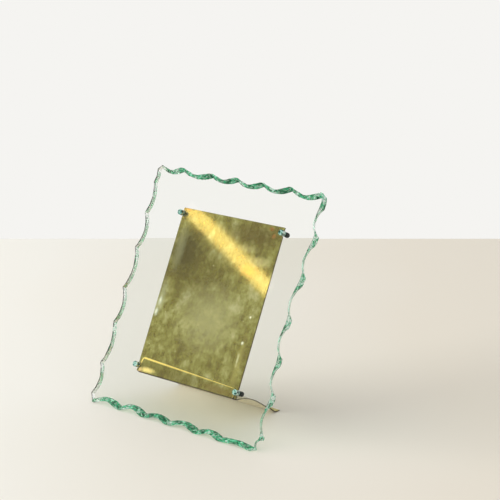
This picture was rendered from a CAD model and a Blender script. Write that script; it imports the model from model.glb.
"""Looks of a tabletop photo frame: a thick glass slab with a chipped edge, a tarnished brass plate behind it
that stands in a bent brass lip and easel leg, and four rubber sleeves on studs cemented into the glass.

Slab coordinates, in millimetres, are X across, depth behind the front face, and height up the face.
"""

import logging
import math
from dataclasses import astuple, dataclass, field
from enum import Enum
from typing import Any, Sequence

import bpy
import numpy as np
from bpy.types import Light, Material, Node, NodeSocket, Object, World
from mathutils import Matrix, Vector
from mathutils.geometry import delaunay_2d_cdt

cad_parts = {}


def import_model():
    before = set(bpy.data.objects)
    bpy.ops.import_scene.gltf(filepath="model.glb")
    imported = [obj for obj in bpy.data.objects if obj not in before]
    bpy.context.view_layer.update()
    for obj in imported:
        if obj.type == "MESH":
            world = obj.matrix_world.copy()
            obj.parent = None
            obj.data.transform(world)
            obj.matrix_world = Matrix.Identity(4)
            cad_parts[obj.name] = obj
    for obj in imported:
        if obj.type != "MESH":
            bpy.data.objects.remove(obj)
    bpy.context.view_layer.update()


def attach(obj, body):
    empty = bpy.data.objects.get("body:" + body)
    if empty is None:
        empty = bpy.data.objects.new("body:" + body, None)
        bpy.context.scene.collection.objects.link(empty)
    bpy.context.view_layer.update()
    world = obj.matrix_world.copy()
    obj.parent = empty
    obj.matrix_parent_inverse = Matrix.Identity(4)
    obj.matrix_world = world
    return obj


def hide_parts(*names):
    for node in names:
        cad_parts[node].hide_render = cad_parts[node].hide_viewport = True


log = logging.getLogger("photo_frame")

MM = 0.001
TURNED_POINTS = 40
Array = np.ndarray
Pair = tuple[float, float]
Triple = tuple[float, float, float]
Rgba = tuple[float, float, float, float]
Faces = list[tuple[int, ...]]
Stops = Sequence[tuple[float, str]]
Links = dict[Any, Any] | Sequence[Any]


class Body(Enum):
    """The two things that come apart: the glass with its studs, and the brass back."""

    GLASS = "glass_front"
    BACK = "back_stand"


class Slot(Enum):
    """Material slots of the record that a piece takes its finish from."""

    GLASS = "clear_glass"
    PLATE = "patinated_brass"
    LEG = "bent_brass_sheet"
    STUD = "stud_brass"
    CEMENT = "pale_cement"
    RUBBER = "black_rubber"


class Corner(Enum):
    """The plate's corners, each as its side and its height: -1 is left or bottom, 1 is right or top."""

    TOP_LEFT = (-1, 1)
    TOP_RIGHT = (1, 1)
    BOTTOM_LEFT = (-1, -1)
    BOTTOM_RIGHT = (1, -1)


# Shapes

@dataclass(frozen=True)
class Lean:
    """Turns slab coordinates into the frame's own, in metres."""

    tilt: float = math.radians(27.0)
    mid_y: float = 65.432
    lift: float = 0.885

    def place(self, points: Array) -> Array:
        """Lean and lift points: a turn by the tilt about X, then a shift.

        Args:
            points: rows of X, depth and height in millimetres.

        Returns:
            Rows of X, Y and Z in metres.
        """
        x, n, v = np.moveaxis(np.asarray(points, float), -1, 0)
        c, s = math.cos(self.tilt), math.sin(self.tilt)
        return np.stack([x, n * c + v * s - self.mid_y, v * c - n * s + self.lift], -1) * MM

    def table_height(self, depth: Any) -> Any:
        """Height up the face at which the table cuts each depth."""
        return (depth * math.sin(self.tilt) - self.lift) / math.cos(self.tilt)

    def along_face(self) -> tuple[Triple, Triple]:
        """Work out the Mapping node that gives slab coordinates, in metres, from Object ones.

        Returns:
            Its shift and its turn.
        """
        c, s = math.cos(self.tilt), math.sin(self.tilt)
        shift = (0.0, (self.mid_y * c + self.lift * s) * MM, (self.mid_y * s - self.lift * c) * MM)
        return shift, (self.tilt, 0.0, 0.0)


LEAN = Lean()


def make_piece(name: str, points: Array, faces: Faces, sharp: float = 40.0) -> Object:
    """Make a mesh object at the origin from points and faces, smooth but for its sharp edges.

    Args:
        name: the piece's name.
        points: rows of X, Y and Z in metres.
        faces: corner numbers of each face, anticlockwise seen from outside.
        sharp: the turn between faces, in degrees, past which an edge is sharp.

    Returns:
        The new object.
    """
    mesh = bpy.data.meshes.new(name)
    mesh.from_pydata(np.asarray(points, float).tolist(), [], faces)
    mesh.polygons.foreach_set("use_smooth", np.ones(len(mesh.polygons), bool))
    mesh.set_sharp_from_angle(angle=math.radians(sharp))
    mesh.validate()
    mesh.update()
    piece = bpy.data.objects.new(name, mesh)
    bpy.context.scene.collection.objects.link(piece)
    return piece


def mark_faces(piece: Object, name: str, values: Array) -> None:
    """Store a number for each face of a piece, as the attribute of that name that its material reads."""
    piece.data.attributes.new(name, "FLOAT", "FACE").data.foreach_set("value", values.astype(np.float32))


def as_faces(rows: Array) -> Faces:
    """Rows of corner numbers as the tuples that a mesh is made from."""
    return [tuple(row) for row in rows.tolist()]


def ring_faces(rings: int, around: int, start: int = 0) -> Faces:
    """Quads that join closed rings of points, stored one after the other.

    Args:
        rings: number of rings.
        around: points in a ring.
        start: number of the first point.

    Returns:
        Quads that face outwards where the rings run clockwise seen from the end that they advance to.
    """
    i = np.arange(rings - 1)[:, None] * around + start
    j = np.arange(around)[None, :]
    k = (j + 1) % around
    return as_faces(np.stack([i + j, i + around + j, i + around + k, i + k], -1).reshape(-1, 4))


def fan_faces(pole: int, ring: int, around: int) -> Faces:
    """Triangles from a pole to each side of the ring of points that starts at a number."""
    j = np.arange(around)
    return as_faces(np.stack([np.full(around, pole), ring + (j + 1) % around, ring + j], -1))


def flipped(faces: Faces) -> Faces:
    """The same faces seen from their other side."""
    return [f[::-1] for f in faces]


def inside(points: Array, outline: Array) -> Array:
    """Whether points lie in an outline, by counting the edges that a ray to the right crosses.

    Args:
        points: rows of X and height.
        outline: rows of X and height, in order round it.

    Returns:
        A truth value for each point.
    """
    a, b = outline, np.roll(outline, -1, 0)
    px, py = points[:, 0, None], points[:, 1, None]
    crosses = (a[None, :, 1] > py) != (b[None, :, 1] > py)
    rise = np.where(b[:, 1] == a[:, 1], 1e-9, b[:, 1] - a[:, 1])
    at = a[None, :, 0] + (py - a[None, :, 1]) / rise[None] * (b[:, 0] - a[:, 0])[None]
    return (crosses & (px < at)).sum(1) % 2 == 1


def fill_outline(outline: Array, holes: Sequence[Array] = (), loose: Array | None = None) -> Faces:
    """Triangulate the inside of an outline, with holes and points inside it.

    Args:
        outline: rows of X and height, anticlockwise.
        holes: outlines of holes.
        loose: points inside, which become corners too.

    Returns:
        Anticlockwise triangles over the points of the outline, the holes and the loose points, in that order.
    """
    loops = [outline, *holes]
    starts = np.cumsum([0] + [len(loop) for loop in loops])
    edges = [
        (start + i, start + (i + 1) % len(loop))
        for start, loop in zip(starts.tolist(), loops) for i in range(len(loop))
    ]
    points = np.vstack(loops if loose is None else [*loops, loose])
    verts, _, triangles, origins, _, _ = delaunay_2d_cdt([Vector(p) for p in points], edges, [], 1, 1e-7)
    flat = np.array([tuple(v) for v in verts])
    source = np.array([origin[0] if origin else -1 for origin in origins])
    corners = np.array(triangles)
    kept = np.ones(len(corners), bool)
    for hole in holes:
        kept &= ~inside(flat[corners].mean(1), hole)
    return as_faces(source[corners[kept]])


def circle(centre: Pair, radius: float, count: int) -> Array:
    """Points of a circle in X and height, anticlockwise."""
    angle = np.arange(count) * 2 * math.pi / count
    return np.stack([centre[0] + radius * np.cos(angle), centre[1] + radius * np.sin(angle)], -1)


def turned(profile: Sequence[Pair], centre: Pair) -> tuple[Array, Faces]:
    """A profile turned about an axis that runs straight back from the glass: a ring for each row, and two poles.

    Args:
        profile: rows of depth and radius. The first and last are poles, with a radius of nought.
        centre: X and height of the axis.

    Returns:
        Points in metres, and faces that look outwards when the profile's depth falls along its outside.
    """
    around = TURNED_POINTS
    rows = np.asarray(profile, float)
    rings = [np.insert(circle(centre, radius, around), 1, depth, axis=1) for depth, radius in rows[1:-1].tolist()]
    poles = [(centre[0], depth, centre[1]) for depth in (rows[0, 0], rows[-1, 0])]
    count = len(rings) * around
    faces = ring_faces(len(rings), around)
    faces += flipped(fan_faces(count, 0, around)) + fan_faces(count + 1, count - around, around)
    return LEAN.place(np.vstack([*rings, poles])), flipped(faces)


# Materials

def srgb(code: str) -> Rgba:
    """Linear colour of an sRGB hex code such as "#8a8148"."""
    parts = [int(code[i:i + 2], 16) / 255 for i in (1, 3, 5)]
    return (*(p / 12.92 if p <= 0.04045 else ((p + 0.055) / 1.055) ** 2.4 for p in parts), 1.0)


def metres(*lengths: float) -> tuple[float, ...]:
    """Lengths given in millimetres, in metres."""
    return tuple(length * MM for length in lengths)


def cells(size: float) -> float:
    """Scale that gives a pattern cells of a size in millimetres, over places in metres."""
    return 1 / (size * MM)


class Recipe:
    """A node tree under construction, with one way to add a node."""

    def __init__(self, owner: Material | World | Light) -> None:
        """Start with no nodes.

        Args:
            owner: the material, world or lamp that the nodes are for.
        """
        owner.use_nodes = True
        self.tree = owner.node_tree
        self.tree.nodes.clear()

    def add(self, kind: str, links: Links = (), stops: Stops = (), **settings: Any) -> Any:
        """Add a node.

        Args:
            kind: the node's type, without its ShaderNode prefix, and its operation, if any, after a dot.
            links: what goes into the inputs, in their order or by name or number: a socket, a node whose first
                live output is meant, a hex colour or a value.
            stops: a colour ramp's places, each with a hex colour.
            settings: the node's own settings.

        Returns:
            The node.
        """
        kind, _, operation = kind.partition(".")
        node = self.tree.nodes.new("ShaderNode" + kind)
        if operation:
            node.operation = operation
        for key, value in settings.items():
            setattr(node, key, value)
        for key, value in links.items() if isinstance(links, dict) else enumerate(links):
            if isinstance(value, Node):
                value = next(output for output in value.outputs if output.enabled)
            if isinstance(value, NodeSocket):
                self.tree.links.new(value, node.inputs[key])
            else:
                node.inputs[key].default_value = srgb(value) if isinstance(value, str) else value
        for i, (place, colour) in enumerate(stops):
            ramp = node.color_ramp.elements
            element = ramp[i] if i < len(ramp) else ramp.new(place)
            element.position = place
            element.color = srgb(colour)
        return node


class Finish(Recipe):
    """A material under construction. Its face is a Mapping node that gives slab coordinates in metres."""

    def __init__(self, name: str) -> None:
        """Start a material.

        Args:
            name: its name.
        """
        self.material = bpy.data.materials.new(name)
        super().__init__(self.material)
        shift, turn = LEAN.along_face()
        where = self.add("TexCoord").outputs["Object"]
        self.face = self.add("Mapping", {"Vector": where, "Location": shift, "Rotation": turn})

    def done(self, **ends: Node) -> Material:
        """Wire the shaders of the surface, and of what is inside it, to the output and return the material."""
        self.add("OutputMaterial", ends)
        return self.material


@dataclass(frozen=True)
class GreenPlateGlass:
    """Thick iron-green plate glass with polished faces and a hammer-chipped edge.

    It gives the eye clear faces and a broken edge: emerald where a chip folds the light back along the slab,
    mint flecks on fresh ridges, and a darker green on both arrises. Towards the left edge the chips turn cream,
    with a dark worn line behind the front arris, and those on the right edge are lit and paler. The iron in the
    melt tints a long way through, and the drilled holes are grey-green and ground.

    The face attribute chip is 0 where a face is polished, up to 1 on chips, and more in the drilled holes.
    Facets and flecks are drawn coarser than real ones, because a millimetre is only a pixel of the main view.
    """

    ior: float = 1.5
    frost: float = 0.22
    depth_tint: str = "#93e0ba"
    depth_density: float = 4.5
    shadow: Rgba = (0.95, 0.98, 0.965, 1.0)
    facet_mm: float = 5.5
    ripple_mm: float = 4.2
    fleck_mm: float = 2.6
    grain_height_mm: float = 0.3
    shake: float = 0.004
    facet_weight: float = 0.45
    right_lift: float = 0.075
    right_mm: Pair = (97.0, 103.0)
    left_mm: Pair = (-106.0, -101.0)
    middle_mm: float = 5.0
    arris_mm: Pair = (4.1, 4.7)
    line_mm: Pair = (2.0, 3.4)
    emerald: Stops = ((0.3, "#02563a"), (0.41, "#0c8a58"), (0.51, "#34c48a"), (0.59, "#84f0c6"), (0.67, "#f6fffb"))
    ground: Stops = ((0.4, "#123f38"), (0.5, "#5c998c"), (0.62, "#e0f3ec"))
    mint: str = "#eefff7"
    arris: str = "#0a5a3e"
    cream: str = "#eef0dc"
    worn: str = "#1f2c24"

    def tone(self, r: Finish, across: Any, ripple: Any) -> Any:
        """How light a chip is: a level for its facet, and the ripple, and a lift on the right edge, added up.

        Args:
            r: the material under construction.
            across: X, in metres.
            ripple: the ripples' noise, which also shakes the facets' borders.

        Returns:
            The tone's node.
        """
        push = r.add("VectorMath.MULTIPLY", (ripple.outputs["Color"], (self.shake,) * 3))
        shaken = r.add("VectorMath.ADD", (r.face, push))
        facets = r.add("TexVoronoi", {"Vector": shaken, "Scale": cells(self.facet_mm)})
        facet = r.add("SeparateColor", (facets.outputs["Color"],)).outputs["Red"]
        tone = r.add("Math.MULTIPLY_ADD", (facet, self.facet_weight, -self.facet_weight / 2))
        lift = r.add("MapRange", (across, *metres(*self.right_mm), 0.0, self.right_lift))
        for layer in (ripple, lift):
            tone = r.add("Math.ADD", (tone, layer))
        return tone

    def build(self) -> Material:
        """Make the material: a mix of polished and broken glass that lets shadow rays through, and its tint.

        The worn line's share is the product of how chipped, how far left, how far in front and how patchy it is.

        Returns:
            The material.
        """
        r = Finish("green_plate_glass")
        chip = r.add("Attribute", attribute_name="chip").outputs["Fac"]
        spot = r.add("SeparateXYZ", (r.face,))
        across, depth = spot.outputs["X"], spot.outputs["Y"]
        ripple = r.add("TexNoise", {"Vector": r.face, "Scale": cells(self.ripple_mm), "Detail": 2.0})
        fleck = r.add("TexNoise", {"Vector": r.face, "Scale": cells(self.fleck_mm), "Detail": 1.0})
        tone = self.tone(r, across, ripple)
        mint = r.add("MapRange", (fleck, 0.55, 0.6))
        off = r.add("Math.SUBTRACT", (depth, self.middle_mm * MM))
        off = r.add("Math.ABSOLUTE", (off,))
        arris = r.add("MapRange", (off, *metres(*self.arris_mm), 0.0, 0.8))
        left = r.add("MapRange", (across, *metres(*self.left_mm), 1.0, 0.0))
        cream = r.add("Math.MULTIPLY", (left, 0.55))
        line = r.add("MapRange", (chip, 0.05, 0.1, 0.0, 0.95))
        front = r.add("MapRange", (depth, *metres(*self.line_mm), 1.0, 0.0))
        patchy = r.add("MapRange", (ripple, 0.36, 0.44))
        for mask in (left, front, patchy):
            line = r.add("Math.MULTIPLY", (line, mask))
        drilled = r.add("Math.GREATER_THAN", (chip, 1.5))
        ground = r.add("ValToRGB", (fleck,), self.ground)
        colour = r.add("ValToRGB", (tone,), self.emerald)
        layers = (mint, self.mint), (arris, self.arris), (cream, self.cream), (line, self.worn), (drilled, ground)
        for share, tint in layers:
            colour = r.add("Mix", {0: share, 6: colour, 7: tint}, data_type="RGBA")
        grain = r.add("Bump", {"Height": fleck, "Strength": 0.5, "Distance": self.grain_height_mm * MM})
        polished = r.add("BsdfPrincipled", {
            "Base Color": "#ffffff", "Transmission Weight": 1.0, "IOR": self.ior, "Roughness": 0.0,
        })
        broken = r.add("BsdfPrincipled", {
            "Base Color": colour, "IOR": self.ior, "Roughness": self.frost, "Normal": grain,
        })
        body = r.add("MapRange", (tone, 0.3, 0.75, 0.92, 0.66))
        body = r.add("Math.MULTIPLY_ADD", (mint, -0.7, body))
        share = r.add("Math.MULTIPLY", (chip, body))
        share = r.add("Math.MAXIMUM", (share, line))
        glass = r.add("MixShader", (share, polished, broken))
        lets = r.add("BsdfTransparent", {"Color": self.shadow})
        shown = r.add("MixShader", (r.add("LightPath").outputs["Is Shadow Ray"], glass, lets))
        tint = r.add("VolumeAbsorption", {"Color": self.depth_tint, "Density": self.depth_density})
        return r.done(Surface=shown, Volume=tint)


@dataclass(frozen=True)
class Patch:
    """A soft-edged place on the brass with a colour of its own, in slab coordinates.

    Its strength is how fully the colour covers the tarnish, and its satin how much it dulls the mirror.
    """

    x: float
    height: float
    half_width: float
    half_height: float
    colour: str
    strength: float = 1.0
    satin: float = 0.0


@dataclass(frozen=True)
class TarnishedBrass:
    """Cold-rolled brass sheet, brushed up and down and left to tarnish.

    It gives the eye a soft mirror under a dull film. The film is olive and mottled, darker where it was never
    rubbed, with fine vertical brush lines, brown stains, and pale specks and scratches where grit cut through
    to bright metal. Brush lines and scratches are drawn coarser than real ones, which are under 0.2 mm apart.

    Patches lie on the front only: they end within a reach of its depth. The face attribute rim is 1 on an edge
    that handling keeps bright and -1 on a dark one, and under is 1 on the leg's dusty underside.
    """

    name: str
    patches: tuple[Patch, ...]
    front_mm: float = 11.8
    reach_mm: float = 0.8
    metal: str = "#b2a457"
    tones: Stops = ((0.25, "#2e2105"), (0.39, "#62571c"), (0.5, "#8a863e"), (0.61, "#b3ae70"), (0.78, "#e0dcb2"))
    film: float = 0.45
    roughness: float = 0.065
    brush_mm: Pair = (0.55, 26.0)
    mottle_mm: float = 13.0
    cloud_mm: float = 60.0
    brush_weight: float = 0.16
    cloud_weight: float = 0.4
    rag_mm: float = 4.0
    dots: tuple[tuple[float, float, str], ...] = ((15.0, 0.06, "#f1ecc4"), (9.3, 0.07, "#3b3414"))
    scratch_mm: Pair = (0.35, 14.0)
    scratch: str = "#cfc98f"
    bright: str = "#ffe07c"
    dark: str = "#2e2117"
    dusty: str = "#e2d6ba"

    def tarnish(self, r: Finish) -> tuple[Any, Any]:
        """Lay down the tarnish: clouds, mottling and brush lines added up into one tone.

        Args:
            r: the material under construction.

        Returns:
            The tone as a colour, and the brush lines.
        """
        wide, long = self.brush_mm
        stretch = (cells(wide), cells(wide), cells(long))
        combed = r.add("VectorMath.MULTIPLY", (r.face, stretch))
        brush = r.add("TexNoise", {"Vector": combed, "Scale": 1.0, "Detail": 3.0})
        upright = r.add("VectorMath.MULTIPLY", (r.face, (1.0, 1.0, 0.8)))
        mottle = r.add("TexNoise", {
            "Vector": upright, "Scale": cells(self.mottle_mm), "Detail": 8.0, "Roughness": 0.72,
        })
        cloud = r.add("TexNoise", {"Vector": r.face, "Scale": cells(self.cloud_mm), "Detail": 1.0})
        tone = r.add("Math.MULTIPLY_ADD", (mottle, 1.25, -0.125))
        for layer, weight in ((brush, self.brush_weight), (cloud, self.cloud_weight)):
            centred = r.add("Math.MULTIPLY_ADD", (layer, weight, -weight / 2))
            tone = r.add("Math.ADD", (tone, centred))
        return r.add("ValToRGB", (tone,), self.tones), brush

    def spread(self, r: Finish, patch: Patch) -> Any:
        """How strongly a patch shows: the distance from its middle in half sizes, made ragged by noise.

        Args:
            r: the material under construction.
            patch: the patch.

        Returns:
            Its strength at the middle, falling to nought past its half sizes.
        """
        middle = metres(patch.x, self.front_mm, patch.height)
        size = (cells(patch.half_width), cells(self.reach_mm), cells(patch.half_height))
        off = r.add("VectorMath.SUBTRACT", (r.face, middle))
        share = r.add("VectorMath.MULTIPLY", (off, size))
        away = r.add("VectorMath.LENGTH", (share,)).outputs["Value"]
        rag = r.add("TexNoise", {"Vector": r.face, "Scale": cells(self.rag_mm), "Detail": 4.0})
        ragged = r.add("Math.MULTIPLY_ADD", (rag, 0.9, away))
        return r.add("MapRange", (ragged, 0.75, 1.45, patch.strength, 0.0))

    def specks(self, r: Finish, colour: Any) -> Any:
        """Scatter pale and dark specks over the sheet's plane, and fine pale scratches along the brushing.

        Args:
            r: the material under construction.
            colour: the colour so far.

        Returns:
            The colour with its specks and scratches.
        """
        flat = r.add("VectorMath.MULTIPLY", (r.face, (1.0, 0.0, 1.0)))
        for step, reach, tint in self.dots:
            dots = r.add("TexVoronoi", {"Vector": flat, "Scale": cells(step)})
            dot = r.add("MapRange", (dots.outputs["Distance"], 0.03, reach, 0.8, 0.0))
            colour = r.add("Mix", {0: dot, 6: colour, 7: tint}, data_type="RGBA")
        wide, long = self.scratch_mm
        scored = r.add("VectorMath.MULTIPLY", (r.face, (cells(wide), 0.0, cells(long))))
        score = r.add("TexNoise", {"Vector": scored, "Scale": 1.0, "Detail": 1.0})
        scratch = r.add("MapRange", (score, 0.7, 0.78, 0.0, 0.55))
        return r.add("Mix", {0: scratch, 6: colour, 7: self.scratch}, data_type="RGBA")

    def build(self) -> Material:
        """Make the material: clean metal that mirrors, under a film that doesn't.

        Returns:
            The material.
        """
        r = Finish(self.name)
        colour, brush = self.tarnish(r)
        clean: Any = self.metal
        film: Any = self.film
        rough = r.add("Math.MULTIPLY_ADD", (brush, 0.02, self.roughness - 0.01))
        for patch in self.patches:
            near = self.spread(r, patch)
            colour = r.add("Mix", {0: near, 6: colour, 7: patch.colour}, data_type="RGBA")
            half = r.add("Math.MULTIPLY", (near, 0.5))
            clean = r.add("Mix", {0: half, 6: clean, 7: patch.colour}, data_type="RGBA")
            if patch.satin:
                rough = r.add("Math.MULTIPLY_ADD", (near, patch.satin, rough))
                film = r.add("Math.MULTIPLY_ADD", (near, patch.satin, film))
        colour = self.specks(r, colour)
        rim = r.add("Attribute", attribute_name="rim").outputs["Fac"]
        handled = r.add("MapRange", (rim,))
        sheared = r.add("MapRange", (rim, 0.0, -1.0))
        under = r.add("Attribute", attribute_name="under").outputs["Fac"]
        for share, tint in ((handled, self.bright), (sheared, self.dark), (under, self.dusty)):
            colour = r.add("Mix", {0: share, 6: colour, 7: tint}, data_type="RGBA")
            clean = r.add("Mix", {0: share, 6: clean, 7: tint}, data_type="RGBA")
        rough = r.add("Math.MULTIPLY_ADD", (handled, 0.4, rough))
        film = r.add("Math.MULTIPLY_ADD", (handled, 0.4, film))
        film = r.add("Math.MULTIPLY_ADD", (under, 0.1, film))
        bump = r.add("Bump", {"Height": brush, "Strength": 0.03, "Distance": 0.1 * MM})
        metal = r.add("BsdfPrincipled", {
            "Base Color": clean, "Metallic": 1.0, "Roughness": rough, "Normal": bump,
        })
        dulled = r.add("BsdfPrincipled", {"Base Color": colour, "Roughness": 0.55, "Specular IOR Level": 0.1})
        return r.done(Surface=r.add("MixShader", (film, metal, dulled)))


@dataclass(frozen=True)
class GrainedFinish:
    """A finish of a few tones over a fine grain, which is its relief too unless a tool left rings instead."""

    name: str
    grain_mm: float
    detail: float
    tones: Stops
    relief: float
    relief_mm: float
    surface: dict[str, float]
    ring_mm: float = 0.0

    def build(self) -> Material:
        """Make the material. The rings are a sine of the depth.

        Returns:
            The material.
        """
        r = Finish(self.name)
        grain = r.add("TexNoise", {"Vector": r.face, "Scale": cells(self.grain_mm), "Detail": self.detail})
        relief = grain
        if self.ring_mm:
            depth = r.add("SeparateXYZ", (r.face,)).outputs["Y"]
            turns = r.add("Math.MULTIPLY", (depth, 2 * math.pi * cells(self.ring_mm)))
            relief = r.add("Math.SINE", (turns,))
        colour = r.add("ValToRGB", (grain,), self.tones)
        bump = r.add("Bump", {"Height": relief, "Strength": self.relief, "Distance": self.relief_mm * MM})
        return r.done(Surface=r.add("BsdfPrincipled", {"Base Color": colour, "Normal": bump, **self.surface}))


# Black moulded rubber gives the eye near black with hardly any sheen, over a fine mould grain
MOULDED_RUBBER = GrainedFinish(
    "moulded_rubber", 0.35, 3.0, ((0.3, "#030404"), (0.7, "#0b0c0c")), 0.2, 0.05,
    {"Roughness": 0.6, "Specular IOR Level": 0.05},
)
# Pale glass cement, cast in place, is chalky, with fine voids and a green cast from the glass round it
SET_CEMENT = GrainedFinish(
    "set_cement", 0.8, 4.0, ((0.35, "#4d8175"), (0.5, "#8fbcae"), (0.65, "#dceee6")), 0.4, 0.1, {"Roughness": 0.7},
)
# Brass rod as cut and turned is a clean yellow, a little clouded, with fine rings from the tool
TURNED_BRASS = GrainedFinish(
    "turned_brass", 3.0, 3.0, ((0.35, "#a58a45"), (0.65, "#d9c27a")), 0.1, 0.05,
    {"Metallic": 1.0, "Roughness": 0.3}, ring_mm=0.4,
)


# Pieces

@dataclass(frozen=True)
class Studs:
    """Places and sizes of the four studs, shared by the pieces that go with them."""

    half_span: float = 68.0
    low: float = 52.5
    high: float = 223.5
    diameter: float = 3.0
    hole_diameter: float = 6.0
    hole_floor: float = 3.0
    foot: float = 3.8
    end: float = 18.5

    def place(self, corner: Corner) -> Pair:
        """X and height of the stud at a corner."""
        side, level = corner.value
        return side * self.half_span, self.high if level > 0 else self.low


@dataclass(frozen=True)
class EdgeCut:
    """How one edge of the slab is chipped: its crests, and the profile of the scoops between them.

    Each crest is its share of the slab's width and of its height, and the depth of the scallop that follows as
    a share of the deepest. The bevel is how much deeper the scoops run at the back. The lands are the depths of
    front rim that they leave in a scallop and at its crests. A scoop's share is its width and its middle its
    place, as shares of the chord between its crests.
    """

    crests: tuple[Triple, ...]
    bevel: float
    scallop_land: float = 2.5
    crest_land: float = 2.5
    scoop_share: float = 1.0
    scoop_middle: float = 0.5


BOTTOM_CUT = EdgeCut((
    (0.022, 0, 0.8), (0.185, 0, 0.85), (0.34, 0, 0.6), (0.49, 0, 0.75), (0.655, 0, 0.65), (0.795, 0, 0.3),
    (0.97, 0, 0),
), 6.5)
RIGHT_CUT = EdgeCut((
    (0.985, 0.008, 0.1), (1, 0.06, 0.5), (0.997, 0.22, 0.5), (0.975, 0.36, 0.5), (0.967, 0.51, 0.5),
    (0.977, 0.675, 0.5), (0.984, 0.835, 0.5), (0.972, 0.97, 0),
), 5.0, 0.0, 6.0, 0.72, 0.4)
TOP_CUT = EdgeCut((
    (0.962, 1, 0.95), (0.785, 1, 0.85), (0.625, 0.997, 0.8), (0.475, 0.997, 0.7), (0.325, 0.995, 0.75),
    (0.145, 0.998, 0.65), (0.018, 0.993, 0),
), 4.5)
LEFT_CUT = EdgeCut((
    (0, 0.975, 0.2), (0, 0.92, 0.65), (0, 0.79, 1), (0.002, 0.645, 1), (0, 0.475, 0.95), (0.005, 0.33, 0.9),
    (0, 0.16, 0.85), (0, 0.035, 0),
), 1.0)


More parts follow.
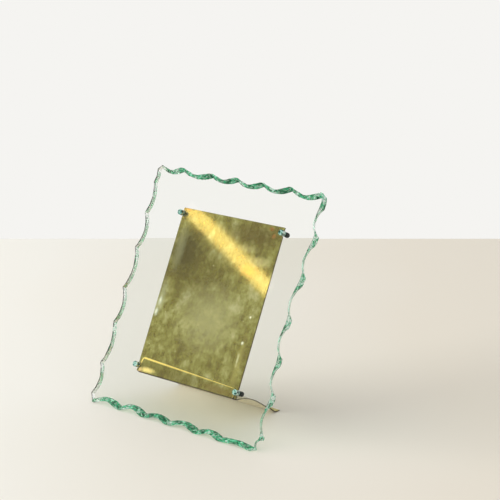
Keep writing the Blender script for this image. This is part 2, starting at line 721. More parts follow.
@dataclass
class ChippedRim:
    """The slab's chipped outline at every depth.

    Between two crests the front outline is a squared sine. Behind it a leaning cylinder scoops deeper towards
    the back. A station's inset is the least that clears every cut near it, with small chips and ripples added.
    No cut reaches further in than the core, and a station's way in leads straight to the part inside it.
    """

    width: float = 228.0
    height: float = 272.0
    thickness: float = 10.0
    scallop_depth: float = 6.0
    crest_flat: float = 1.2
    spacing: float = 0.62
    levels: int = 19
    first_levels: Pair = (0.2, 0.5)
    core: float = 42.0
    arris: float = 0.14
    chip_count: int = 700
    chip_radius: Pair = (0.9, 3.6)
    chip_depth: Pair = (0.08, 0.5)
    chip_seed: int = 21
    ripple: float = 0.1
    ripple_step: float = 2.8
    ripple_start: float = 6.0
    ripple_front: float = 2.0
    ripple_squash: float = 1.6
    blow_share: Pair = (0.35, 0.65)
    halvings: int = 24
    cuts: tuple[EdgeCut, ...] = (BOTTOM_CUT, RIGHT_CUT, TOP_CUT, LEFT_CUT)

    def __post_init__(self) -> None:
        """Work out the depths, the crests, their scoops, and the stations along the outline between them."""
        thick, (skin, inner) = self.thickness, self.first_levels
        self.depths = np.r_[0.0, skin, np.linspace(inner, thick - inner, self.levels), thick - skin, thick]
        crests = np.array([crest for cut in self.cuts for crest in cut.crests])
        bevel, scallop_land, crest_land, scoop_share, scoop_middle = np.array(
            [astuple(cut)[1:] for cut in self.cuts for _ in cut.crests]).T
        self.crest = (crests[:, :2] - (0.5, 0.0)) * (self.width, self.height)
        span = np.roll(self.crest, -1, 0) - self.crest
        self.chord = np.linalg.norm(span, axis=1)
        self.along = span / self.chord[:, None]
        self.inward = np.stack([-self.along[:, 1], self.along[:, 0]], -1)
        self.depth = crests[:, 2] * self.scallop_depth
        self.slope = bevel / thick
        self.first = self.depth - scallop_land * self.slope
        self.cosine = np.cos(np.arctan(self.slope))
        sagitta = (self.first + crest_land * self.slope) * self.cosine
        self.radius = ((self.chord * scoop_share) ** 2 / 4 + sagitta ** 2) / (2 * sagitta)
        self.middle = self.chord * scoop_middle
        counts = np.maximum((self.chord / self.spacing).astype(int), 6)
        self.own = np.repeat(np.arange(len(crests)), counts)
        share = np.concatenate([np.arange(count) / count for count in counts.tolist()])
        self.place = share * self.chord[self.own]
        self.base = self.crest[self.own] + self.along[self.own] * self.place[:, None]
        low = np.array([-self.width / 2 + self.core, self.core])
        high = np.array([self.width / 2 - self.core, self.height - self.core])
        way = np.clip(self.base, low, high) - self.base
        self.way = way / np.linalg.norm(way, axis=1)[:, None]
        self.run = np.cumsum(np.linalg.norm(self.base - np.roll(self.base, 1, 0), axis=1))

    def cut(self, scallop: Array, place: Array, depth: Array) -> Array:
        """How far inside its chord a scallop is cut: the deeper of its squared sine and its scoop.

        Args:
            scallop: numbers of scallops.
            place: places along their chords.
            depth: depths behind the front face.

        Returns:
            The distance, or one far outside the slab where nothing is cut.
        """
        chord, radius, deepest = self.chord[scallop], self.radius[scallop], self.depth[scallop]
        share = np.clip((place - self.crest_flat / 2) / (chord - self.crest_flat), 0, 1)
        on_chord = (place >= 0) & (place <= chord)
        wave = np.where(on_chord, deepest * np.sin(math.pi * share) ** 2, -self.core)
        off = place - self.middle[scallop]
        fall = (radius - np.sqrt(np.maximum(radius ** 2 - off ** 2, 0))) / self.cosine[scallop]
        scoop = self.first[scallop] + depth * self.slope[scallop] - fall
        scooped = (deepest > 0) & (np.abs(off) < radius)
        return np.maximum(wave, np.where(scooped, scoop, -self.core))

    def insets(self) -> Array:
        """Distance from each station, along its way inwards, to the glass: an interval halved again and again.

        Returns:
            A row for each depth and a column for each station.
        """
        near = (self.own[:, None] + np.arange(-2, 3)) % len(self.crest)
        low = np.zeros((len(self.depths), len(self.own)))
        high = np.full_like(low, 0.6 * self.core)
        for _ in range(self.halvings):
            middle = (low + high) / 2
            point = self.base + middle[..., None] * self.way
            off = point[:, :, None, :] - self.crest[near]
            place = (off * self.along[near]).sum(-1)
            inner = (off * self.inward[near]).sum(-1)
            clear = (inner >= self.cut(near, place, self.depths[:, None, None])).all(-1)
            low, high = np.where(clear, low, middle), np.where(clear, middle, high)
        return high

    def chips(self) -> Array:
        """How deep the small chips and ripples go: bowls drawn at random, and rings round each scallop's blow.

        A bowl gets shallower with the square of the distance from its middle. The rings are a sine of the
        distance from the blow, and fade in away from it and behind the front.

        Returns:
            A row for each depth and a column for each station.
        """
        draw = np.random.default_rng(self.chip_seed)
        run, depth = self.run[None, :], self.depths[:, None]
        perimeter = float(self.run[-1])
        middle = draw.uniform(0, perimeter, self.chip_count)
        level = draw.uniform(-0.5, self.thickness + 0.5, self.chip_count)
        radius = draw.uniform(*self.chip_radius, self.chip_count)
        deepest = draw.uniform(*self.chip_depth, self.chip_count) * radius / self.chip_radius[1]
        dented = np.zeros((len(self.depths), len(self.own)))
        for at, back, wide, deep in zip(middle.tolist(), level.tolist(), radius.tolist(), deepest.tolist()):
            apart = np.abs(run - at)
            apart = np.minimum(apart, perimeter - apart)
            bowl = 1 - (apart ** 2 + (depth - back) ** 2) / wide ** 2
            dented = np.maximum(dented, deep * bowl)
        blow = self.chord * draw.uniform(*self.blow_share, len(self.chord))
        reach = np.hypot(self.place - blow[self.own], self.ripple_squash * depth)
        rings = np.sin(2 * math.pi * reach / self.ripple_step) * np.clip(reach / self.ripple_start, 0, 1)
        return dented + self.ripple * rings * np.clip(depth / self.ripple_front, 0, 1)

    def outlines(self) -> Array:
        """The outline at each depth, with worn arrises and nothing below the table.

        Returns:
            A row for each depth of points in slab coordinates.
        """
        inset = self.insets() + self.chips()
        inset[[0, -1]] += self.arris
        flat = self.base + np.maximum(inset, self.arris)[..., None] * self.way
        depth = np.broadcast_to(self.depths[:, None], flat.shape[:2])
        height = np.maximum(flat[..., 1], LEAN.table_height(depth))
        return np.stack([flat[..., 0], depth, height], -1)


@dataclass
class GlassSlab:
    """The slab: two polished faces, a chipped edge all round and four blind holes for the studs."""

    rim: ChippedRim = field(default_factory=ChippedRim)
    studs: Studs = field(default_factory=Studs)
    hole_points: int = 36
    hole_chip: float = 1.7
    left_chip: float = 0.12
    left_fade: float = 26.0

    def build(self) -> Object:
        """Make the slab as one closed mesh, with a face attribute that says how chipped each face is.

        Returns:
            The piece.
        """
        rings = self.rim.outlines()
        around, count = rings.shape[1], len(rings) * rings.shape[1]
        side = ring_faces(len(rings), around)
        front = fill_outline(rings[0][:, [0, 2]])
        centres = [self.studs.place(corner) for corner in Corner]
        holes = [circle(centre, self.studs.hole_diameter / 2, self.hole_points) for centre in centres]
        rims = count + np.arange(len(holes))[:, None] * (2 * self.hole_points + 1) + np.arange(self.hole_points)
        numbers = np.r_[np.arange(count - around, count), rims.ravel()]
        back = as_faces(numbers[np.array(fill_outline(rings[-1][:, [0, 2]], holes))[:, ::-1]])
        walls, wall_points = self.blind_holes(holes, centres, count)
        faces = side + front + back + walls
        points = LEAN.place(np.vstack([rings.reshape(-1, 3), wall_points]))
        slab = make_piece("glass_slab_chipped", points, faces, sharp=30.0)
        chip = np.zeros(len(faces))
        chip[:len(side)] = np.tile(self.chip_shares(), len(rings) - 1)
        chip[len(faces) - len(walls):] = self.hole_chip
        mark_faces(slab, "chip", chip)
        return slab

    def chip_shares(self) -> Array:
        """How frosted the chips are at each station: least on the left edge, which broke clean."""
        from_left = self.rim.base[:, 0] + self.rim.width / 2
        return np.clip(from_left / self.left_fade, self.left_chip, 1.0)

    def blind_holes(self, holes: Sequence[Array], centres: Sequence[Pair], start: int) -> tuple[Faces, Array]:
        """Walls and floors of the holes.

        Args:
            holes: each hole's circle.
            centres: each hole's centre.
            start: number of the first point.

        Returns:
            Faces, and points in slab coordinates: each hole's rim, its bottom ring and the pole of its floor.
        """
        n, floor = self.hole_points, self.studs.hole_floor
        points, faces = [], []
        for i, (hole, centre) in enumerate(zip(holes, centres)):
            first = start + i * (2 * n + 1)
            points += [np.insert(hole, 1, depth, axis=1) for depth in (self.rim.thickness, floor)]
            points.append(np.array([[centre[0], floor, centre[1]]]))
            faces += ring_faces(2, n, first) + fan_faces(first + 2 * n, first + n, n)
        return faces, np.vstack(points)


@dataclass(frozen=True)
class StudSet(Studs):
    """A stud, its cement and its rubber sleeve at a corner, each turned from rows of depth and radius."""

    sleeve_diameter: float = 5.6
    sleeve_end: float = 21.5
    glass_back: float = 10.0
    bond: float = 0.05
    bead: float = 1.6
    grooves: int = 4
    groove_step: float = 1.2

    def stud(self, corner: Corner) -> Object:
        """A rod with bevelled ends and grooves that key it into the cement.

        Args:
            corner: where it stands.

        Returns:
            The piece.
        """
        r = self.diameter / 2
        a, b = self.foot, self.end
        profile = [(a, 0), (a, r - 0.4), (a + 0.3, r - 0.05)]
        for i in range(self.grooves):
            at = a + 0.8 + self.groove_step * i
            profile += [(at, r), (at + 0.25, r - 0.22), (at + 0.55, r - 0.22), (at + 0.8, r)]
        profile += [(b - 0.5, r), (b - 0.15, r - 0.15), (b, r - 0.5), (b, 0)]
        points, faces = turned(profile, self.place(corner))
        return make_piece(f"stud_rod_{corner.name.lower()}", points, faces)

    def cement(self, corner: Corner) -> Object:
        """The cup of cement between the stud and its hole, and the bead squeezed out round the sleeve's foot.

        Args:
            corner: where it stands.

        Returns:
            The piece.
        """
        outer = self.hole_diameter / 2 - self.bond
        inner = self.diameter / 2 + self.bond
        a, b, foot = self.hole_floor, self.glass_back, self.foot
        c, end = self.sleeve_diameter / 2 + 0.04, b + self.bead
        profile = [
            (foot - 0.02, 0), (foot - 0.02, inner), (b - 0.1, inner), (b - 0.02, inner + 0.3),
            (b - 0.02, c - 0.15), (b, c), (end - 0.15, c), (end, c + 0.04), (end - 0.1, c + 0.1),
            (end - 0.6, c + 0.14), (b + 0.1, c + 0.14), (b - 0.1, outer), (a + 0.5, outer),
            (a + 0.15, outer - 0.2), (a + 0.02, outer - 0.6), (a + 0.02, 0),
        ]
        points, faces = turned(profile, self.place(corner))
        return make_piece(f"cement_cup_{corner.name.lower()}", points, flipped(faces))

    def sleeve(self, corner: Corner) -> Object:
        """A rubber sleeve: a foot roll on the glass, a slightly waisted tube, a mould line and a dome.

        Args:
            corner: where it stands.

        Returns:
            The piece.
        """
        r = self.sleeve_diameter / 2
        bore = self.diameter / 2 + self.bond
        start, end = self.glass_back, self.sleeve_end
        top, dome = self.end + self.bond, end - r
        profile = [
            (top, 0), (top, bore), (start + 0.4, bore), (start + 0.02, bore + 0.3), (start + 0.02, r - 0.35),
            (start + 0.18, r - 0.08), (start + 0.5, r), (start + 1.0, r - 0.04), (start + 1.3, r - 0.16),
            (start + 3.5, r - 0.2), (dome - 2.0, r - 0.14), (dome - 0.7, r - 0.02), (dome - 0.2, r),
        ]
        angles = np.radians(np.linspace(8, 82, 9))
        profile += list(zip((dome + r * np.sin(angles)).tolist(), (r * np.cos(angles)).tolist()))
        profile.append((end, 0))
        points, faces = turned(profile, self.place(corner))
        return make_piece(f"rubber_cap_{corner.name.lower()}", points, faces, sharp=60.0)


@dataclass
class BackPlate:
    """The flat plate: sheared sheet with eased edges, half-round notches and a faint hand-flattened wave."""

    half_width: float = 68.0
    bottom: float = 46.0
    top: float = 230.0
    front: float = 11.8
    back: float = 13.0
    notch: float = 3.1
    corner: float = 0.8
    ease: float = 0.22
    wave: float = 0.015
    edge_dark: float = -0.9
    step: float = 2.5
    grid_step: float = 5.0
    grid_gap: float = 1.8
    studs: Studs = field(default_factory=Studs)

    def outline(self) -> Array:
        """The plate's outline: its right side is arcs and straight runs, and its left side mirrors it.

        Returns:
            Rows of X and height, anticlockwise.
        """
        w, c, g = self.half_width, self.corner, self.notch
        arcs = [
            (w - c, self.bottom + c, c, 270, 360), (w, self.studs.low, g, 270, 90),
            (w, self.studs.high, g, 270, 90), (w - c, self.top - c, c, 0, 90),
        ]
        rows = []
        for x, height, radius, start, end in arcs:
            turn = np.radians(np.linspace(start, end, max(int(abs(end - start) / 11), 5)))
            rows.append(np.stack([x + radius * np.cos(turn), height + radius * np.sin(turn)], -1))
        right = np.vstack(rows)
        loop = np.vstack([right, right[::-1] * (-1, 1)])
        gaps = np.linalg.norm(np.roll(loop, -1, 0) - loop, axis=1)
        parts = np.maximum((gaps / self.step).astype(int), 1)
        first = np.repeat(np.arange(len(loop)), parts)
        share = np.concatenate([np.arange(n) / n for n in parts.tolist()])[:, None]
        return loop[first] * (1 - share) + np.roll(loop, -1, 0)[first] * share

    def bend(self, rows: Array) -> Array:
        """How far the sheet stands off flat at rows of X and height: two crossed slow waves."""
        x, v = rows.T
        return self.wave * (np.sin(x / 17 + v / 60) + np.sin(v / 23 - x / 80 + 1.0)) / 2

    def sheet(self, flat: Array, depth: float) -> Array:
        """Points of the waved sheet over rows of X and height, at a depth before bending."""
        return np.stack([flat[:, 0], depth + self.bend(flat), flat[:, 1]], -1)

    def build(self) -> Object:
        """Make the plate as one closed mesh: filled front and back, and eased rings between them.

        Returns:
            The piece, with the face attribute rim dark on its edge.
        """
        outline = self.outline()
        along = np.roll(outline, -1, 0) - np.roll(outline, 1, 0)
        along /= np.linalg.norm(along, axis=1)[:, None]
        inward = np.stack([-along[:, 1], along[:, 0]], -1)
        x = np.arange(-self.half_width + 4, self.half_width - 2, self.grid_step)
        height = np.arange(self.bottom + 4, self.top - 2, self.grid_step)
        grid = np.stack(np.meshgrid(x, height), -1).reshape(-1, 2)
        gap = np.linalg.norm(grid[:, None] - outline[None], axis=2).min(1)
        grid = grid[(gap > self.grid_gap) & inside(grid, outline)]
        e, thick, around = self.ease, self.back - self.front, len(outline)
        steps = [(e, 0.0), (0.3 * e, 0.3 * e), (0.0, e), (0.0, thick - e), (0.3 * e, thick - 0.3 * e), (e, thick)]
        rows = [self.sheet(outline + inward * step, self.front + deep) for step, deep in steps]
        rows += [self.sheet(grid, self.front), self.sheet(grid, self.back)]
        filled = np.array(fill_outline(outline + inward * e, loose=grid))
        loose = len(steps) * around - around
        front = np.where(filled < around, filled, filled + loose)
        back = np.where(filled < around, filled + loose, filled + loose + len(grid))[:, ::-1]
        faces = ring_faces(len(steps), around) + as_faces(np.vstack([front, back]))
        plate = make_piece("brass_back_plate", LEAN.place(np.vstack(rows)), faces, sharp=20.0)
        rim = np.zeros(len(faces))
        rim[:(len(steps) - 1) * around] = self.edge_dark
        mark_faces(plate, "rim", rim)
        return plate


@dataclass(frozen=True)
class Move:
    """One stretch of the sheet's centre line: a straight length, or an arc's radius and turn in degrees."""

    length: float = 0.0
    radius: float = 0.0
    turn: float = 0.0


@dataclass
class EaselSheet:
    """One bent sheet: a low lip before the plate, a tight fold under it, and the curved leg behind.

    The lip's top edge falls from left to right: its heights are stretched in step with X. The face attribute
    rim is bright on the lip's top and ends and dark on the fold and the leg's side edges, and under is 1 on the
    leg's underside.
    """

    sheet: float = 1.0
    lip_front: float = 10.2
    plate_front: float = 11.8
    plate_back: float = 13.0
    plate_rise: float = 46.0
    lip_height: float = 13.5
    lip_slant: float = 6.5
    lip_half: float = 64.5
    leg_half: float = 66.0
    left_corner: float = 5.5
    right_corner: float = 3.0
    fold_radius: float = 0.3
    root: float = 1.0
    shoulder_radius: float = 14.0
    shoulder_slope: float = 7.0
    shoulder_length: float = 4.0
    arch_radius: float = 66.0
    shin_slope: float = 38.0
    toe_radius: float = 7.0
    toe_slope: float = 4.0
    toe_length: float = 5.0
    step: float = 1.5
    edge: float = 0.35
    flat_points: int = 33
    bow_points: int = 5
    top_runs: tuple[float, ...] = (0.05, 0.2, 0.5, 1.0, 1.7, 2.6, 3.7)
    top_end: float = 4.5
    thinned: tuple[float, ...] = (0.4, 0.68, 0.9, 0.5)
    fold_end: float = 1.2
    fold_dark: float = -0.85
    crept_dark: float = -0.9
    left_bright: float = 0.9

    def shin_length(self) -> float:
        """Work out the straight shin that brings the toe down to the table.

        Returns:
            Its length: the height that the other stretches leave, over the sine of its slope.
        """
        tilt, shoulder, shin = LEAN.tilt, math.radians(self.shoulder_slope), math.radians(self.shin_slope)
        height = LEAN.lift + (self.plate_rise - self.sheet / 2) * math.cos(tilt) - self.plate_back * math.sin(tilt)
        height -= self.root * math.sin(tilt) + self.shoulder_radius * (math.cos(shoulder) - math.cos(tilt))
        height -= self.shoulder_length * math.sin(shoulder)
        height -= self.arch_radius * (math.cos(shoulder) - math.cos(shin))
        height -= self.toe_radius * (1 - math.cos(shin)) + self.sheet / 2
        return height / math.sin(shin)

    def line(self) -> tuple[Array, Array, Array]:
        """The sheet's centre line from the lip's top to the toe, as straight runs and arcs.

        Its stations are about a step apart, and closer together at the lip's worn top.

        Returns:
            Places as depth and height, headings in radians, and lengths from the lip's top.
        """
        bend = self.fold_radius + self.sheet / 2
        below = self.plate_back + self.root - (self.lip_front + self.sheet / 2) - bend
        moves = [
            Move(self.lip_height - self.fold_radius), Move(0, bend, 90.0), Move(below),
            Move(0, self.shoulder_radius, math.degrees(LEAN.tilt) - self.shoulder_slope),
            Move(self.shoulder_length), Move(0, self.arch_radius, self.shoulder_slope - self.shin_slope),
            Move(self.shin_length()), Move(0, self.toe_radius, self.shin_slope + self.toe_slope),
            Move(self.toe_length),
        ]
        chords, turns, lengths = [], [], []
        for move in moves:
            total = move.length + move.radius * abs(math.radians(move.turn))
            n = max(int(total / self.step), 10 if move.turn else 1)
            part = math.radians(move.turn) / n
            chords += [2 * move.radius * math.sin(abs(part) / 2) if move.turn else total / n] * n
            turns += [part] * n
            lengths += [total / n] * n
        headings = -math.pi / 2 + np.r_[0.0, np.cumsum(turns)]
        way = headings[:-1] + np.array(turns) / 2
        steps = np.array(chords)[:, None] * np.stack([np.cos(way), np.sin(way)], -1)
        start = np.array([self.lip_front + self.sheet / 2, self.plate_rise + self.lip_height])
        places = start + np.vstack([np.zeros(2), np.cumsum(steps, 0)])
        runs = np.r_[0.0, np.cumsum(lengths)]
        first, keep = np.array(self.top_runs), runs > self.top_end
        lead = np.stack([np.full(len(first), places[0, 0]), np.interp(first, runs, places[:, 1])], -1)
        headings = np.r_[np.full(len(first), headings[0]), headings[keep]]
        return np.vstack([lead, places[keep]]), headings, np.r_[first, runs[keep]]

    def half_width(self, places: Array, runs: Array, corner: float) -> Array:
        """How far the sheet reaches to one side: round at the lip's top, wider behind the fold.

        Args:
            places: depths and heights along the centre line.
            runs: lengths along it from the lip's top.
            corner: radius of the lip's corner on that side.

        Returns:
            The reach at each station.
        """
        down = np.clip(corner - runs, 0, corner)
        lip = self.lip_half - corner + np.sqrt(np.maximum(corner ** 2 - down ** 2, 0.0))
        past = np.clip((places[:, 0] - self.plate_front + 0.2) / 0.8, 0, 1)
        return np.where(runs < self.lip_height + 1.0, lip, self.lip_half + (self.leg_half - self.lip_half) * past)

    def section(self) -> tuple[Array, Array, Array]:
        """The sheet's section: flat on one side, round at the right, flat on the other side, round at the left.

        Returns:
            Each point's share of the half width, how far out past the flats it is as a share of the edge, and
            how far up from the centre line as a share of half the sheet.
        """
        flat, bow = self.flat_points, self.bow_points
        across = np.r_[[-1.0], np.linspace(-0.974, 0.974, flat - 2), [1.0]]
        bend = np.linspace(90, -90, bow + 2)[1:-1]
        turn = np.radians(np.r_[np.full(flat, 90), bend, np.full(flat, -90), bend + 180])
        share = np.r_[across, np.ones(bow), across[::-1], -np.ones(bow)]
        return share, np.cos(turn), np.sin(turn)

    def marks(self, runs: Array, share: Array) -> tuple[Array, Array]:
        """Which faces are bright, dark or dusty, by their run from the lip's top and their spot on the section.

        The narrow strips beside the leg's edges are dark too, and one on the lip's left end is bright. The top
        is worn bright most at the left, where its run times its distance from the left end is small.

        Args:
            runs: the stations' lengths from the lip's top.
            share: the section's shares of the half width.

        Returns:
            The attributes rim and under of each face, with the two ends last.
        """
        flat, bow = self.flat_points, self.bow_points
        right_strip, left_strip = flat + bow, 2 * flat + bow - 2
        spot, at = np.arange(len(share))[None, :], (runs[:-1, None] + runs[1:, None]) / 2
        on_edge = ((spot >= flat - 1) & (spot < right_strip)) | (spot > left_strip)
        on_lip, on_leg = at < self.lip_height - 1.0, at > self.lip_height + self.fold_end
        folded = (at > self.lip_height - self.fold_radius) & ~on_leg
        worn = np.clip(1.15 - 0.45 * (1 + share) * at, 0, 1) * (at < 1.8)
        rim = np.where(on_edge, np.where(on_lip, 1.0, -1.0), np.where(folded, self.fold_dark, worn))
        crept = ((spot == right_strip) | (spot == left_strip)) & on_leg
        left_end = (spot == left_strip) & (at < self.lip_height - 5.0)
        rim = np.where(left_end, self.left_bright, np.where(crept, self.crept_dark, rim))
        under = on_leg & (spot > right_strip) & (spot < left_strip)
        return np.append(rim, [1.0, -1.0]), np.append(under, [0.0, 0.0])

    def build(self) -> Object:
        """Make the sheet: its section carried along the centre line, thinned at both ends and closed there.

        Returns:
            The piece, with the face attributes rim and under.
        """
        places, headings, runs = self.line()
        left, right = (self.half_width(places, runs, corner) for corner in (self.left_corner, self.right_corner))
        share, out, up = self.section()
        thin = np.ones(len(runs))
        thin[[0, 1, 2, -1]] = self.thinned
        half = np.where(share < 0, left[:, None], right[:, None]) - self.edge
        x = share * half + out * self.edge
        thick = up * self.sheet / 2 * thin[:, None]
        normal = np.stack([-np.sin(headings), np.cos(headings)], -1)
        section = places[:, None, :] + normal[:, None, :] * thick[..., None]
        above = np.maximum(section[..., 1] - self.plate_rise - self.fold_radius, 0)
        section[..., 1] -= above * self.lip_slant / self.lip_height * x / (2 * self.lip_half)
        points = np.concatenate([x[..., None], section], -1).reshape(-1, 3)
        count, around = len(runs), len(share)
        caps = [tuple(range(around)), tuple(range(count * around - 1, (count - 1) * around - 1, -1))]
        faces = ring_faces(count, around) + caps
        piece = make_piece("brass_easel_sheet", LEAN.place(points), faces, sharp=50.0)
        for name, values in zip(("rim", "under"), self.marks(runs, share)):
            mark_faces(piece, name, values)
        return piece


# Stage

@dataclass(frozen=True)
class Lamp:
    """An area lamp: its place, the point it looks at, its sides, power and colour.

    Its long side lies along a direction, and it looks as nearly at the point as that allows. No lamp shows as a
    glare on the front of the glass. Only a mirrored one shows through it, and its own nodes leave it a share of
    its strength until a ray has passed both faces, so that the back face shows hardly any glare either.
    """

    name: str
    place: Triple
    aim: Triple
    size: Pair
    watts: float
    colour: Triple = (1.0, 1.0, 1.0)
    mirrored: bool = False
    along: Triple = (1.0, 0.0, 0.0)
    glare: float = 0.2

    def hang(self) -> None:
        """Hang the lamp in the scene."""
        data = bpy.data.lights.new(self.name, "AREA")
        data.shape = "RECTANGLE"
        data.size, data.size_y = self.size
        data.energy = self.watts
        data.color = self.colour
        lamp = bpy.data.objects.new(self.name, data)
        along = Vector(self.along).normalized()
        back = Vector(self.place) - Vector(self.aim)
        back = (back - along * back.dot(along)).normalized()
        turn = Matrix((along, back.cross(along), back)).transposed()
        lamp.matrix_world = Matrix.Translation(self.place) @ turn.to_4x4()
        lamp.visible_glossy = False
        lamp.visible_transmission = self.mirrored
        bpy.context.scene.collection.objects.link(lamp)
        if self.mirrored:
            r = Recipe(data)
            passes = r.add("LightPath").outputs["Transmission Depth"]
            behind = r.add("MapRange", (passes, 2.0, 3.0, self.glare, 1.0))
            r.add("OutputLight", {"Surface": r.add("Emission", {"Strength": behind})})


@dataclass(frozen=True)
class Studio:
    """A pale table with a far edge, a pale wall beyond it, level light and a few lamps.

    The strip lamp is what the brass plate mirrors as its bright band, seen through the glass. The wall has one
    colour straight on and one through the glass. The room's dim side has one for its image in the brass, and a
    darker one for its glare on polished glass.
    """

    wall: str = "#f5f4f1"
    wall_through: str = "#fcf9f5"
    dim_wall: str = "#cccac4"
    glare_wall: str = "#7a7873"
    dim_way: Triple = (-0.587, -0.673, 0.45)
    table: str = "#ece9df"
    table_warm: str = "#e8e0d0"
    warm_way: Triple = (0.76, 0.587, 0.0)
    world_level: float = 0.68
    world_colour: Rgba = (0.98, 0.9875, 1.01, 1.0)
    camera_at: Triple = (0.9788, -1.19346, 0.6266)
    looks: Triple = (-0.5868, 0.7598, -0.2799)
    lens: float = 110.86
    table_reach: float = 2.209
    table_size: float = 4.0
    lamps: tuple[Lamp, ...] = (
        Lamp("strip_lamp", (-0.3505, -0.3681, 0.4372), (0.02, 0.01, 0.15), (0.192, 0.0218), 0.054,
             (1.0, 0.8, 0.62), True, (0.8701, -0.3329, -0.3634)),
        Lamp("overhead_lamp", (-0.6, -0.3, 1.9), (-0.05, 0.0, 0.1), (1.4, 1.4), 1.5),
        Lamp("window_lamp", (-2.7, -2.2, 0.95), (0.0, 0.0, 0.05), (3.4, 1.7), 195.0, along=(0.63, -0.77, 0.0)),
    )

    def camera(self) -> None:
        """Aim the camera with a level horizon."""
        data = bpy.data.cameras.new("camera")
        data.lens = self.lens
        data.sensor_width = 36.0
        data.clip_start = 0.05
        camera = bpy.data.objects.new("camera", data)
        camera.location = self.camera_at
        camera.rotation_euler = Vector(self.looks).to_track_quat("-Z", "Y").to_euler()
        bpy.context.scene.collection.objects.link(camera)
        bpy.context.scene.camera = camera

    def lay_table(self) -> None:
        """Lay the table square to the camera's bearing, with its far edge at its place in the view."""
        away = np.array(self.looks[:2]) / math.hypot(*self.looks[:2])
        side = np.array([away[1], -away[0]]) * self.table_size
        eye = np.array(self.camera_at[:2])
        far, near = eye + away * self.table_reach, eye - away * self.table_size
        corners = np.stack([far - side, near - side, near + side, far + side])
        table = make_piece("table_top", np.insert(corners, 2, 0.0, axis=1), [(0, 1, 2, 3)])
        table.data.materials.append(self.paint())

    def paint(self) -> Material:
        """Make the table's paint: satin, pale, and warmer towards one side, with soft clouds in the change.

        Returns:
            The material.
        """
        r = Finish("painted_table")
        where = r.add("TexCoord").outputs["Object"]
        soft = r.add("TexNoise", {"Vector": where, "Scale": 2.2, "Detail": 1.0})
        side = r.add("VectorMath.DOT_PRODUCT", (where, self.warm_way)).outputs["Value"]
        blend = r.add("Math.MULTIPLY_ADD", (soft, 0.4, side))
        colour = r.add("ValToRGB", (blend,), ((0.0, self.table), (0.45, self.table_warm)))
        surface = r.add("BsdfPrincipled", {"Base Color": colour, "Roughness": 0.55, "Specular IOR Level": 0.2})
        return r.done(Surface=surface)

    def light(self) -> None:
        """Hang the lamps, and give the world a level glow that looks like the wall where it shows.

        The room's dim side is at its near left, and takes over by the cosine of the angle to that way.
        """
        world = bpy.data.worlds.new("studio")
        bpy.context.scene.world = world
        r = Recipe(world)
        ray = r.add("LightPath")
        way = r.add("TexCoord").outputs["Generated"]
        off = r.add("VectorMath.DOT_PRODUCT", (way, self.dim_way)).outputs["Value"]
        near = r.add("MapRange", (off, 0.35, 0.9))
        through, mirrored = ray.outputs["Is Transmission Ray"], ray.outputs["Is Reflection Ray"]
        far = r.add("Mix", {0: through, 6: self.wall, 7: self.wall_through}, data_type="RGBA")
        dim = r.add("Mix", {0: mirrored, 6: self.dim_wall, 7: self.glare_wall}, data_type="RGBA")
        tone = r.add("Mix", {0: near, 6: far, 7: dim}, data_type="RGBA")
        seen = r.add("Background", {"Color": tone})
        even = r.add("Background", {"Color": self.world_colour, "Strength": self.world_level})
        shows = ray.outputs["Is Camera Ray"]
        for kind in ("Is Glossy Ray", "Is Transmission Ray"):
            shows = r.add("Math.MAXIMUM", (shows, ray.outputs[kind]))
        r.add("OutputWorld", {"Surface": r.add("MixShader", (shows, even, seen))})
        for lamp in self.lamps:
            lamp.hang()


# Assembly

PLATE_PATCHES = (
    Patch(5, 120, 50, 46, "#d6cf96", 0.58),
    Patch(-48, 184, 28, 36, "#3a2d00", 0.95),
    Patch(-25, 165, 60, 50, "#544713", 0.45),
    Patch(58, 80, 6, 42, "#d0c070", 0.4),
    Patch(34, 216, 46, 16, "#553f08", 0.8),
    Patch(52, 226, 4, 3, "#b5622a", 0.7),
    Patch(57, 219, 3, 4, "#c07a3c", 0.6),
    Patch(-62, 229, 6, 3, "#d58f3c", 0.6),
    Patch(28, 200, 18, 5, "#e3deb0", 0.2, 0.2),
    Patch(50, 189, 17, 7, "#e3deb0", 0.3, 0.2),
    Patch(38, 178, 15, 8, "#f2a834", 0.5),
    Patch(-58, 185, 8, 30, "#b9b68c", 0.45),
    Patch(-63, 130, 6, 26, "#d9d8ae", 0.45),
    Patch(-64, 126, 3, 7, "#f0f0dc", 0.7, 0.3),
    Patch(-65, 113, 3, 6, "#f0f0dc", 0.8, 0.3),
    Patch(56, 103, 2.2, 2.4, "#fffbe6", 0.9, 0.4),
    Patch(57, 131, 1.6, 1.8, "#fffbe6", 0.9, 0.4),
    Patch(56, 85, 1.5, 9, "#f0edc8", 0.6, 0.3),
)
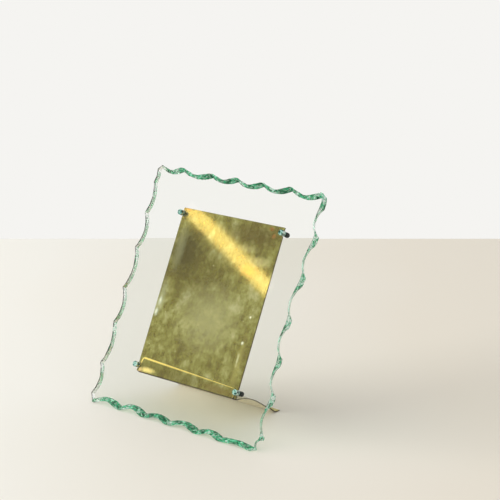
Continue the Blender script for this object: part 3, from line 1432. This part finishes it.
SHEET_PATCHES = (
    Patch(-63, 48, 5, 4, "#dba67c", 0.9, 0.2),
    Patch(-10, 52, 62, 9, "#5c4f16", 0.5),
    Patch(44, 50, 26, 6, "#7d5a26", 0.6),
    Patch(-54, 49.5, 14, 4.2, "#ffe28c", 1.0, 0.5),
)


def settle(piece: Object, body: Body, slot: Slot, finish: Material, *nodes: str) -> None:
    """Give a piece its finish, body and slot, and let it stand for its solids.

    Args:
        piece: the piece.
        body: what it moves with.
        slot: the record's slot.
        finish: its material.
        nodes: the solids it stands for.
    """
    piece.data.materials.append(finish)
    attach(piece, body.value)
    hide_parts(*nodes)
    log.info("%s: %d faces, rides on %s", piece.name, len(piece.data.polygons), body.value)


def main() -> None:
    """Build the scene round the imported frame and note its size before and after."""
    logging.basicConfig(level=logging.INFO, format="%(name)s: %(message)s")
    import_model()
    studio = Studio()
    studio.camera()
    studio.lay_table()
    studio.light()
    scene = bpy.context.scene
    scene.view_settings.view_transform = "Standard"
    # Enough bounces for light to leave the chipped edge
    scene.cycles.max_bounces = 40
    scene.cycles.glossy_bounces = 32
    scene.cycles.transmission_bounces = 32
    scene.cycles.transparent_max_bounces = 32

    settle(GlassSlab().build(), Body.GLASS, Slot.GLASS, GreenPlateGlass().build(), "glass_slab")
    plate_finish = TarnishedBrass("tarnished_brass", PLATE_PATCHES).build()
    settle(BackPlate().build(), Body.BACK, Slot.PLATE, plate_finish, "back_plate")
    sheet_finish = TarnishedBrass("bent_brass", SHEET_PATCHES, front_mm=10.2, reach_mm=4.0).build()
    settle(EaselSheet().build(), Body.BACK, Slot.LEG, sheet_finish, "easel_leg")
    fittings = StudSet()
    brass, cement, rubber = TURNED_BRASS.build(), SET_CEMENT.build(), MOULDED_RUBBER.build()
    for corner in Corner:
        place = corner.name.lower()
        settle(fittings.stud(corner), Body.GLASS, Slot.STUD, brass, f"stud_{place}")
        settle(fittings.cement(corner), Body.GLASS, Slot.CEMENT, cement, f"cement_plug_{place}")
        settle(fittings.sleeve(corner), Body.GLASS, Slot.RUBBER, rubber, f"rubber_sleeve_{place}")


if __name__ == "__main__":
    main()
